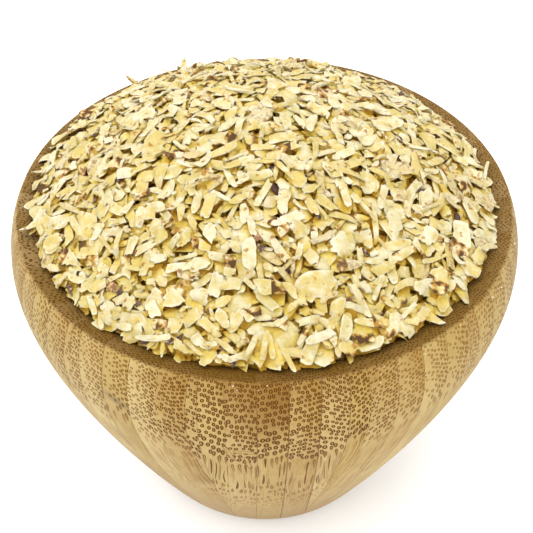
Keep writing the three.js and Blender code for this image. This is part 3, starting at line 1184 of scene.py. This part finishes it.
def scatter_group():
    """Geometry nodes that put a shape at each point, turned and sized by the point's own values."""
    group, tree, given = new_group(
        "lay_flakes", {"Places": "Geometry", "Shapes": "Collection", "Finish": "Material"}
    )

    def own(name, kind):
        return tree.add("GeometryNodeInputNamedAttribute", {"data_type": kind}, Name=name).outputs[0]

    shapes = tree.add(
        "GeometryNodeCollectionInfo", Collection=given["Shapes"], Separate_Children=True, Reset_Children=True
    )
    turn = tree.add("FunctionNodeEulerToRotation", i0=own("turn", "FLOAT_VECTOR"))
    size = tree.number(own("size", "FLOAT"))
    placed = tree.add(
        "GeometryNodeInstanceOnPoints",
        Points=given["Places"],
        Instance=shapes.outputs[0],
        Pick_Instance=True,
        Instance_Index=own("shape", "INT"),
        Rotation=turn.outputs[0],
        Scale=tree.vector(size, size, size),
    )
    end_group(tree, placed.outputs[0], given["Finish"])
    return group


def add_hidden(piece, pile):
    """Stores how much of the sky the pile hides from each point of a piece, from 0 to 1."""
    points = np.empty(len(piece.data.vertices) * 3, np.float32)
    piece.data.vertices.foreach_get("co", points)
    x, y, z = points.reshape(-1, 3).T / MM
    seen = np.zeros(len(x))
    turns = np.arange(8) * math.tau / 8
    for turn in turns:
        steepest = np.zeros(len(x))
        for reach in (0.7, 1.3, 2.1, 3.2, 5.0):
            around = pile.ground[pile.cell(x + reach * math.cos(turn), y + reach * math.sin(turn))]
            steepest = np.maximum(steepest, (around - z) / reach)
        seen += 1 / (1 + steepest**2) / len(turns)
    add_values(piece.data, "hidden", "FLOAT", (1 - seen).astype(np.float32))


def scatter(name, rows, shape_meshes, tones, group, material):
    """One piece of many flakes: rows hold place, turn, size and shape number."""
    rows = np.array(rows)
    mesh = mesh_of(name, rows[:, :3], [])
    add_values(mesh, "turn", "FLOAT_VECTOR", rows[:, 3:6])
    add_values(mesh, "size", "FLOAT", rows[:, 6])
    add_values(mesh, "shape", "INT", rows[:, 7].astype(np.int32))
    add_values(mesh, "tone", "FLOAT_VECTOR", tones)
    piece = new_piece(name, mesh)
    store = bpy.data.collections.new(name + "_shapes")
    for place, shape_mesh in enumerate(shape_meshes):
        store.objects.link(bpy.data.objects.new(f"{name}_shape_{place:03d}", shape_mesh))
    make_with(piece, group, shapes=store, finish=material)
    for leftover in list(store.objects):
        bpy.data.objects.remove(leftover)
    bpy.data.collections.remove(store)
    return piece


PORE = (0.60, 0.42, 0.14)
FRECKLE = (0.34, 0.21, 0.10)
FLESH_ON_SKIN = (0.50, 0.34, 0.14)
# Painted shade between the pieces of the core
CORE_GAP_SHADE = (0.22, 0.08, 0.006)


def flake_material(flakes):
    """Dry floury flesh, cream to yellow, with pale broken edges, pores, brown spots and painted shade."""
    material, tree, shader = new_material("flake_flesh", Roughness=0.8, Specular_IOR_Level=0.12)
    _, _, _, where = tree.place()
    luck, spots, drift = tree.triple("tone")
    own_x, own_y, own_z = tree.triple("own")
    hidden = tree.factor("hidden")
    soft = tree.noise(where, 0.45, 2.0)
    grain = tree.noise(where, 1.9, 4.0, 0.7)
    ribs = tree.noise(tree.vector(own_x * 260.0 + drift * 40.0, own_y * 1700.0, own_z * 700.0), 1.0, 2.0)

    pale_rim = tree.factor("edge").smooth(0.35, 1.0) * 0.5
    yellow = luck.smooth(0.1, 0.9) * 0.6 + (soft - 0.5) * 2.2 + (grain - 0.5) * 1.6 + 0.36 - pale_rim
    flesh = tree.mix(yellow.clamped(), flakes.cream, flakes.straw)
    flesh = tree.mix(drift.smooth(0.82, 0.94) * (0.3 + soft * 0.4), flesh, flakes.beige)
    pores = (grain + (ribs - 0.5) * 0.5).smooth(0.55, 0.75) * (0.2 + spots * 0.4)
    flesh = tree.mix(pores, flesh, PORE)

    # Brown spots, mostly at one end of a few flakes, and grey brown freckles on a few more
    patch = tree.noise(where, 0.6, 2.0, 0.4)
    at_end = (own_x * 1000.0 + own_y * 900.0 * (luck - 0.5)).smooth(0.8, 2.6) * spots.smooth(0.82, 0.86)
    spot = patch + at_end * 0.24 + tree.factor("skin") * 0.03
    flesh = tree.mix(spot.smooth(0.63, 0.74) * 0.9, flesh, flakes.stain)
    flesh = tree.mix(spot.smooth(0.76, 0.84) * 0.85, flesh, flakes.husk)
    freckles = tree.noise(where, 1.2, 3.0, 0.7)
    freckled = drift.smooth(0.91, 0.96) * (freckles + (patch - 0.5) * 0.9).smooth(0.50, 0.66)
    flesh = tree.mix(freckled * 0.6, flesh, FRECKLE)

    # Painted shade: flakes under others and down in the gaps are yellower and darker, by how much sky the
    # pile hides.
    flesh = tree.mix(hidden.smooth(0.2, 0.65) * 0.85, flesh, flakes.shaded)
    flesh = tree.mix(hidden.smooth(0.55, 0.95) * 0.8, flesh, flakes.gap_shade)
    areas = tree.noise(where, 0.11, 1.0)
    # The grain's own tone, with painted shade in the hollows of the grain and ribs
    grain_tone_and_shade = 0.70 + grain * 0.52 + (ribs - 0.3) * 0.24 * luck + (drift - 0.5) * 0.08 + (areas - 0.5) * 0.3
    flesh = tree.tinted(flesh, grain_tone_and_shade, grain_tone_and_shade, grain_tone_and_shade * grain_tone_and_shade)
    dress(tree, shader, flesh, grain * 0.5 + ribs * 0.7, 0.9, 0.00055)
    return material


def husk_material(flakes):
    """Bits of dark wrinkled skin with some flesh on them."""
    material, tree, shader = new_material("nut_skin", Roughness=0.6, Specular_IOR_Level=0.4)
    _, _, _, where = tree.place()
    luck, _, drift = tree.triple("tone")
    wrinkles = tree.noise(where, 2.2, 3.0, 0.6)
    patches = tree.noise(where, 0.9, 2.0)
    lightness = luck.smooth(0.35, 0.9) * 0.6 + (wrinkles - 0.5)
    colour = tree.mix(lightness.clamped(), flakes.husk, flakes.tan)
    colour = tree.mix((patches + drift * 0.25).smooth(0.66, 0.82) * 0.8, colour, FLESH_ON_SKIN)
    dress(tree, shader, colour, wrinkles, 0.7, 0.0004)
    return material


def core_material(flakes):
    """The flakes far down in the heap, seen only through gaps: painted in the flakes' shade colours, with
    darker painted shade between the pieces.
    """
    material, tree, shader = new_material("deep_flakes", Roughness=0.85, Specular_IOR_Level=0.2)
    _, _, _, where = tree.place()
    cells = tree.add("ShaderNodeTexVoronoi", Vector=where, Scale=0.32)
    piece_tone, _, _ = tree.split(cells.outputs["Color"])
    between = tree.number(cells.outputs["Distance"])
    # Painted shade: the shaded flake colours, and darker still between the pieces
    colour = tree.mix(piece_tone, flakes.gap_shade, flakes.shaded)
    colour = tree.mix(between.smooth(0.35, 0.75), colour, CORE_GAP_SHADE)
    dress(tree, shader, colour, piece_tone - between, 0.9, 0.0015)
    return material


# ---------------------------------------------------------------- crumbs on the rim

DUST_COUNT = 170
DUST_SHAPES = 6
DUST_RADIUS = 0.14
DUST_SEED = 21
DUST_SHAPE_SEED = 22
SHARE_ON_BAND = 0.72
DUST_FALL = 2.4  # how far down the wall the crumbs reach
DUST_SIZES = (0.5, 2.2)
STARCH = (0.70, 0.62, 0.44)
WHITE_STARCH = (0.85, 0.80, 0.68)


def dust_rows(bowl):
    """Places, turns and sizes of fine white crumbs on the band and the top of the wall."""
    rng = np.random.default_rng(DUST_SEED)
    outside = outer_side(bowl)[::-1]
    rows = []
    for _ in range(DUST_COUNT):
        turn = rng.uniform(0, math.tau)
        if rng.random() < SHARE_ON_BAND:
            radius = rng.uniform(bowl.mouth_radius + 0.3, bowl.rim_radius - 0.7)
            z = float(band_height(bowl, radius))
        else:
            drop = abs(rng.normal(0, DUST_FALL)) + 0.3
            radius = float(np.interp(drop, outside[:, 1], outside[:, 0]))
            z = RIM_HEIGHT - drop
        spin = rng.uniform(0, math.tau, 3)
        size = min(DUST_SIZES[1], max(DUST_SIZES[0], rng.lognormal(-0.1, 0.4)))
        shape_number = rng.integers(DUST_SHAPES)
        rows.append((radius * math.cos(turn), radius * math.sin(turn), z, *spin, size, shape_number))
    return rows


def dust_shapes():
    """A few tiny angular crumbs."""
    rng = np.random.default_rng(DUST_SHAPE_SEED)
    meshes = []
    for place in range(DUST_SHAPES):
        mesh = bmesh.new()
        bmesh.ops.create_icosphere(mesh, subdivisions=1, radius=DUST_RADIUS * MM)
        for vertex in mesh.verts:
            vertex.co.x *= rng.uniform(1.0, 1.9)
            vertex.co.z *= rng.uniform(0.45, 0.9)
        made = bpy.data.meshes.new(f"dust_{place}")
        mesh.to_mesh(made)
        mesh.free()
        meshes.append(made)
    return meshes


def dust_material():
    """White starchy crumbs."""
    material, tree, shader = new_material("starch", Roughness=0.8, Specular_IOR_Level=0.3)
    grain = tree.noise(tree.place()[3], 1.4, 1.0)
    tree.feed(shader, "Base_Color", tree.mix(grain.smooth(0.35, 0.65), STARCH, WHITE_STARCH))
    return material


# ---------------------------------------------------------------- stage

FLOOR_HALF = 3000.0
WHITE = (1.0, 1.0, 1.0)
FLOOR_GREYS = ((0.74, 0.74, 0.74), (0.76, 0.76, 0.76))
# Lights, in metres
LIT_SPOT = (0.0, 0.0, 0.08)
KEY_PLACE = (-0.14, -0.02, 0.9)
KEY_WIDTH = 1.2
KEY_COLOUR = (1.0, 0.99, 0.97)
FILL_PLACE = (0.25, -0.75, 0.45)
FILL_WIDTH = 0.7


def floor_material():
    """Plain pale floor that glows a little."""
    material, tree, shader = new_material(
        "pale_floor",
        Roughness=0.9,
        Specular_IOR_Level=0.1,
        Emission_Color=four(WHITE),
        Emission_Strength=0.2,
    )
    x, y, _, _ = tree.place()
    faint = tree.noise(tree.vector(x, y), 0.01, 1.0)
    tree.feed(shader, "Base_Color", tree.mix(faint, *FLOOR_GREYS))
    return material


def add_light(name, place, width, power, colour):
    """A soft square light that faces the bowl."""
    data = bpy.data.lights.new(name, "AREA")
    data.shape = "SQUARE"
    data.size = width
    data.energy = power
    data.color = colour
    light = new_piece(name, data)
    away = [start - end for start, end in zip(place, LIT_SPOT)]
    flat = math.hypot(away[0], away[1])
    light.location = place
    light.rotation_euler = (math.atan2(flat, away[2]), 0.0, math.atan2(away[0], -away[1]))


def add_surround(scene, strength):
    """White light from all round."""
    world = bpy.data.worlds.new("white_surround")
    world.use_nodes = True
    background = world.node_tree.nodes["Background"]
    background.inputs["Color"].default_value = four(WHITE)
    background.inputs["Strength"].default_value = strength
    scene.world = world


def add_camera(scene, stage):
    data = bpy.data.cameras.new("camera")
    data.sensor_width = 36.0
    data.lens = stage.lens
    data.clip_start = 0.01
    data.clip_end = 20.0
    camera = new_piece("camera", data)
    camera.location = stage.camera_place
    camera.rotation_euler = (stage.camera_tilt, 0.0, 0.0)
    scene.camera = camera


# ---------------------------------------------------------------- operators


class FLAKEBOWL_OT_bowl(bpy.types.Operator):
    """Turn the bamboo bowl"""

    bl_idname = "flakebowl.bowl"
    bl_label = "Bamboo bowl"

    def execute(self, context):
        bowl, bamboo = context.scene.bowl_settings, context.scene.bamboo_settings
        section = bowl_section(bowl)
        rows = np.column_stack([section[:, 0], np.zeros(len(section)), section[:, 1]])
        piece = new_piece("bamboo_bowl", mesh_of("bowl_section", rows, []))
        finish = bamboo_material(bowl, bamboo)
        make_with(piece, lathe_group(), segments=bowl.segments, merge_distance=0.01 * MM, finish=finish)
        face_outwards(piece.data)
        finish_piece(piece, "bowl")
        return {"FINISHED"}


class FLAKEBOWL_OT_core(bpy.types.Operator):
    """Fill the bowl under the loose flakes"""

    bl_idname = "flakebowl.core"
    bl_label = "Heap core"

    def execute(self, context):
        mesh = core_mesh(context.scene.bowl_settings, context.scene.heap_settings)
        piece = new_piece("flake_core", mesh)
        mesh.shade_smooth()
        mesh.materials.append(core_material(context.scene.flake_settings))
        finish_piece(piece, "flake_heap")
        return {"FINISHED"}


class FLAKEBOWL_OT_flakes(bpy.types.Operator):
    """Lay the loose flakes over the core"""

    bl_idname = "flakebowl.flakes"
    bl_label = "Loose flakes"

    def execute(self, context):
        scene = context.scene
        heap, flakes = scene.heap_settings, scene.flake_settings
        kinds = flake_kinds(flakes)
        seeds = {kind.name: heap.seed * 100 + kind.seed for kind in kinds}
        shapes = {}
        for kind in kinds:
            rng = np.random.default_rng(seeds[kind.name])
            shapes[kind.name] = [Shape(kind, rng) for _ in range(kind.shapes)]
        pile, laid = lay_flakes(scene.bowl_settings, heap, kinds, shapes)
        group = scatter_group()
        flesh, husk = flake_material(flakes), husk_material(flakes)
        for name, rows in laid.items():
            if not rows:
                raise RuntimeError(f"no {name} were laid")
            tones = np.random.default_rng(seeds[name] + 50).random((len(rows), 3))
            meshes = [shape.mesh(f"{name}_{place}") for place, shape in enumerate(shapes[name])]
            piece = scatter(name, rows, meshes, tones, group, husk if name == "skin_bits" else flesh)
            add_hidden(piece, pile)
            finish_piece(piece, "flake_heap")
        return {"FINISHED"}


class FLAKEBOWL_OT_dust(bpy.types.Operator):
    """Scatter fine crumbs on the rim"""

    bl_idname = "flakebowl.dust"
    bl_label = "Crumbs on the rim"

    def execute(self, context):
        rows = dust_rows(context.scene.bowl_settings)
        tones = np.zeros((len(rows), 3))
        piece = scatter("rim_dust", rows, dust_shapes(), tones, scatter_group(), dust_material())
        finish_piece(piece, "flake_heap")
        return {"FINISHED"}


class FLAKEBOWL_OT_stage(bpy.types.Operator):
    """Set the floor, the lights and the camera"""

    bl_idname = "flakebowl.stage"
    bl_label = "Stage"

    def execute(self, context):
        scene, stage = context.scene, context.scene.stage_settings
        ends = ((-1, -1), (1, -1), (1, 1), (-1, 1))
        corners = [(FLOOR_HALF * x, FLOOR_HALF * y, 0.0) for x, y in ends]
        floor = new_piece("floor", mesh_of("floor", corners, [(0, 1, 2, 3)]))
        floor.data.materials.append(floor_material())
        add_light("key", KEY_PLACE, KEY_WIDTH, stage.key_power, KEY_COLOUR)
        add_light("fill", FILL_PLACE, FILL_WIDTH, stage.fill_power, WHITE)
        add_surround(scene, stage.surround)
        add_camera(scene, stage)
        scene.view_settings.view_transform = "Standard"
        scene.view_settings.look = "None"
        return {"FINISHED"}


STEPS = (
    FLAKEBOWL_OT_stage,
    FLAKEBOWL_OT_bowl,
    FLAKEBOWL_OT_core,
    FLAKEBOWL_OT_flakes,
    FLAKEBOWL_OT_dust,
)


class FLAKEBOWL_PT_panel(bpy.types.Panel):
    """The steps that build the bowl of flakes"""

    bl_idname = "FLAKEBOWL_PT_panel"
    bl_label = "Flake bowl"
    bl_space_type = "VIEW_3D"
    bl_region_type = "UI"
    bl_category = "Flake bowl"

    def draw(self, context):
        for step in STEPS:
            self.layout.operator(step.bl_idname)


SETTINGS = {
    "bowl_settings": BowlSettings,
    "bamboo_settings": BambooSettings,
    "heap_settings": HeapSettings,
    "flake_settings": FlakeSettings,
    "stage_settings": StageSettings,
}


def register():
    for part in (*SETTINGS.values(), *STEPS, FLAKEBOWL_PT_panel):
        bpy.utils.register_class(part)
    for name, group in SETTINGS.items():
        setattr(bpy.types.Scene, name, PointerProperty(type=group))


def unregister():
    for name in SETTINGS:
        delattr(bpy.types.Scene, name)
    for part in (FLAKEBOWL_PT_panel, *reversed(STEPS), *reversed(SETTINGS.values())):
        bpy.utils.unregister_class(part)


def main():
    register()
    bpy.ops.flakebowl.stage()
    bpy.ops.flakebowl.bowl()
    bpy.ops.flakebowl.core()
    bpy.ops.flakebowl.flakes()
    bpy.ops.flakebowl.dust()


if __name__ == "__main__":
    main()
